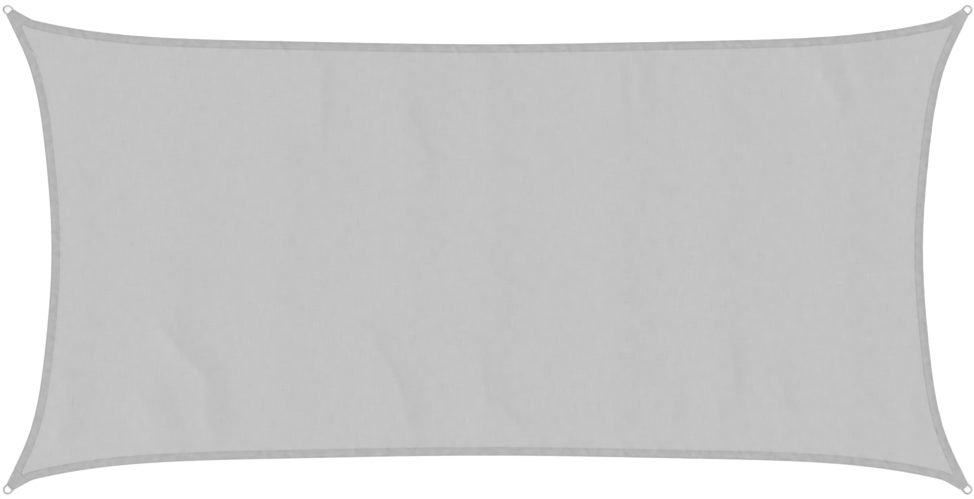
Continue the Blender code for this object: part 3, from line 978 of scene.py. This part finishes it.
def cloth_material(name, colour, mottled, paints_row_shade=False):
    """Close-knit cloth, with slubs both ways, uneven tone, knit hollows painted darker as painted
    shade, and, where asked, sewn rows painted darker: painted shade in their dimples, with their
    thread and needle holes.
    """
    material, tree, shader = new_material(name, CLOTH_ROUGHNESS, specular=CLOTH_SPECULAR)
    flat = flat_place(tree)
    axes = add_node(tree, "ShaderNodeSeparateXYZ", {0: flat}).outputs
    loops = knit(tree, axes[0], axes[1])
    noises = {}
    # Painted shade: the knit's hollows are darker and its loops lighter, following the same
    # heights as its bump.
    tones = [(loops, KNIT_PAINTED_SHADE)]
    heights = [(loops, KNIT_HEIGHT)]
    for kind, size_x, size_y, detail, shift, tone, height in CLOTH_NOISE:
        noise = spread_noise(tree, flat, (size_x, size_y), detail, shift)
        noises[kind] = cubed(tree, noise) if kind.startswith("slubs") else noise
        tones.append((noises[kind], tone))
        if height > 0:
            heights.append((noises[kind], height))
    mottle = spread_noise(tree, flat, MOTTLE_SIZE, detail=3.0, shift=41.0)
    tones.append((mottle, mottled))
    factor = reckon(tree, "ADD", mixed_sum(tree, tones), 1.0)
    # Painted shade: each sewn row is darkened in the colour, for the shade in its dimples as well
    # as its thread and needle holes.
    if paints_row_shade:
        inset = add_node(tree, "ShaderNodeAttribute",
                         attribute_name="hem_inset").outputs["Fac"]
        for row, dark, shift in ROW_PAINTED_SHADES:
            uneven = spread_noise(tree, flat, ROW_UNEVEN_SIZE, detail=2.0, shift=shift)
            darkest = reckon(tree, "MULTIPLY_ADD", uneven, -dark, 1 - dark)
            away = reckon(tree, "ABSOLUTE", reckon(tree, "SUBTRACT", inset, row))
            near = add_node(tree, "ShaderNodeMapRange",
                            {"Value": away, "From Min": 0.0, "From Max": ROW_SHADE_REACH,
                             "To Min": darkest, "To Max": 1.0},
                            interpolation_type="SMOOTHSTEP").outputs[0]
            factor = reckon(tree, "MULTIPLY", factor, near)
    rough = reckon(tree, "MULTIPLY_ADD", loops, KNIT_ROUGHNESS, CLOTH_ROUGHNESS)
    rough = reckon(tree, "MULTIPLY_ADD", noises["cloudy"], CLOUDY_ROUGHNESS, rough)
    tree.links.new(rough, shader.inputs["Roughness"])
    dress(tree, shader, colour, factor, mixed_sum(tree, heights), 1.0, CLOTH_BUMP)
    return material


def thread_material(name, colour):
    """Twisted sewing thread."""
    material, tree, shader = new_material(name, THREAD_ROUGHNESS, specular=THREAD_SPECULAR)
    place = add_node(tree, "ShaderNodeTexCoord").outputs["Object"]
    fibre = spread_noise(tree, place, FIBRE_SIZE, detail=3.0, shift=5.0)
    worn = spread_noise(tree, place, WORN_SIZE, detail=2.0, shift=7.0)
    factor = mixed_sum(tree, ((fibre, FIBRE_TONE), (worn, WORN_TONE)))
    dress(tree, shader, colour, reckon(tree, "ADD", factor, 1.0), fibre, FIBRE_HEIGHT)
    return material


def steel_material(name, colour):
    """Drawn and polished stainless wire, with fine lines along it and dull spots."""
    material, tree, shader = new_material(name, STEEL_ROUGHNESS, metallic=1.0)
    flat = flat_place(tree)
    lines = spread_noise(tree, flat, LINE_SIZE, detail=3.0, shift=2.0)
    spots = spread_noise(tree, flat, SPOT_SIZE, detail=3.0, shift=8.0)
    rough = mixed_sum(tree, ((lines, LINE_ROUGHNESS), (spots, SPOT_ROUGHNESS)))
    tree.links.new(reckon(tree, "ADD", rough, STEEL_ROUGHNESS), shader.inputs["Roughness"])
    factor = mixed_sum(tree, ((lines, LINE_TONE), (spots, SPOT_TONE)))
    dress(tree, shader, colour, reckon(tree, "ADD", factor, 1.0), lines, LINE_HEIGHT)
    return material


# -------- stage
def make_floor():
    half = FLOOR_HALF
    corners = [(-half, -half, 0), (half, -half, 0), (half, half, 0), (-half, half, 0)]
    material, _, shader = new_material("floor", FLOOR_ROUGHNESS)
    shader.inputs["Base Color"].default_value = (FLOOR_GREY, FLOOR_GREY, FLOOR_GREY, 1.0)
    floor = mesh_piece("floor", corners, [[(0, 1, 2, 3)]], [material])
    floor.location.z = -FLOOR_DROP


def make_light():
    world = bpy.data.worlds.new("studio")
    bpy.context.scene.world = world
    world.use_nodes = True
    background = world.node_tree.nodes["Background"]
    background.inputs["Color"].default_value = (1.0, 1.0, 1.0, 1.0)
    background.inputs["Strength"].default_value = SKY_STRENGTH
    key = bpy.data.lights.new("key", "SUN")
    key.energy = SUN_STRENGTH
    key.angle = SUN_ANGLE
    lamp = link(bpy.data.objects.new("key", key))
    lamp.rotation_euler = SUN_TURN


def make_camera():
    camera = bpy.data.cameras.new("camera")
    camera.lens, camera.sensor_width = LENS, SENSOR
    camera.clip_end = VIEW_END
    holder = link(bpy.data.objects.new("camera", camera))
    width, height = PHOTO_SIZE
    holder.location = ((width / 2 - PHOTO_CENTRE[0]) * METRES_PER_PIXEL,
                       (PHOTO_CENTRE[1] - height / 2) * METRES_PER_PIXEL,
                       width * METRES_PER_PIXEL * LENS / SENSOR)
    bpy.context.scene.camera = holder
    bpy.context.scene.view_settings.view_transform = "Standard"


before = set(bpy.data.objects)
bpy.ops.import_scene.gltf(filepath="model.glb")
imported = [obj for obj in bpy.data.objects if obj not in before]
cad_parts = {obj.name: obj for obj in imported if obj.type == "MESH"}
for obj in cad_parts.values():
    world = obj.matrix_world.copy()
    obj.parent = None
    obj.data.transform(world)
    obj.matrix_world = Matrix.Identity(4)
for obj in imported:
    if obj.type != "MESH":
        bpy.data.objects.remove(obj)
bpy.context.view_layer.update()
make_camera()
make_light()
make_floor()
single = cloth_material("shade cloth", CLOTH_GREY, CLOTH_MOTTLE)
double = cloth_material("shade cloth, two layers", HEM_GREY, HEM_MOTTLE, paints_row_shade=True)
sewn = cloth_material("shade cloth, sewn down", PATCH_GREY, PATCH_MOTTLE)
thread = thread_material("sewing thread", THREAD_GREY)
pale_thread = thread_material("sewing thread, pale", PALE_THREAD_GREY)
steel = steel_material("stainless steel", STEEL_GREY)

pucker_table = pucker_rows()
thread_draw = np.random.default_rng(HEM_STITCH_SEED)
cloth = make_cloth([single, double], pucker_table)
top_rows = stitch_piece("hem_stitches_top",
                        hem_stitch_rows(pucker_table, True, thread_draw), 1, thread)
under_rows = stitch_piece("hem_stitches_under",
                          hem_stitch_rows(pucker_table, False, thread_draw), -1, thread)
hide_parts("sail_cloth")
for piece in (cloth, top_rows, under_rows):
    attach(piece, "root")

for name, side_x, side_y in CORNERS:
    patch = make_patch(name, side_x, side_y, sewn)
    seams = patch_stitches(name, side_x, side_y, pale_thread)
    ring = make_ring(name, side_x, side_y, steel)
    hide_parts("corner_patch_" + name)
    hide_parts("d_ring_" + name)
    for piece, slot in ((patch, "patch_cloth"), (seams, "patch_cloth"),
                        (ring, "ring_steel")):
        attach(piece, "root")
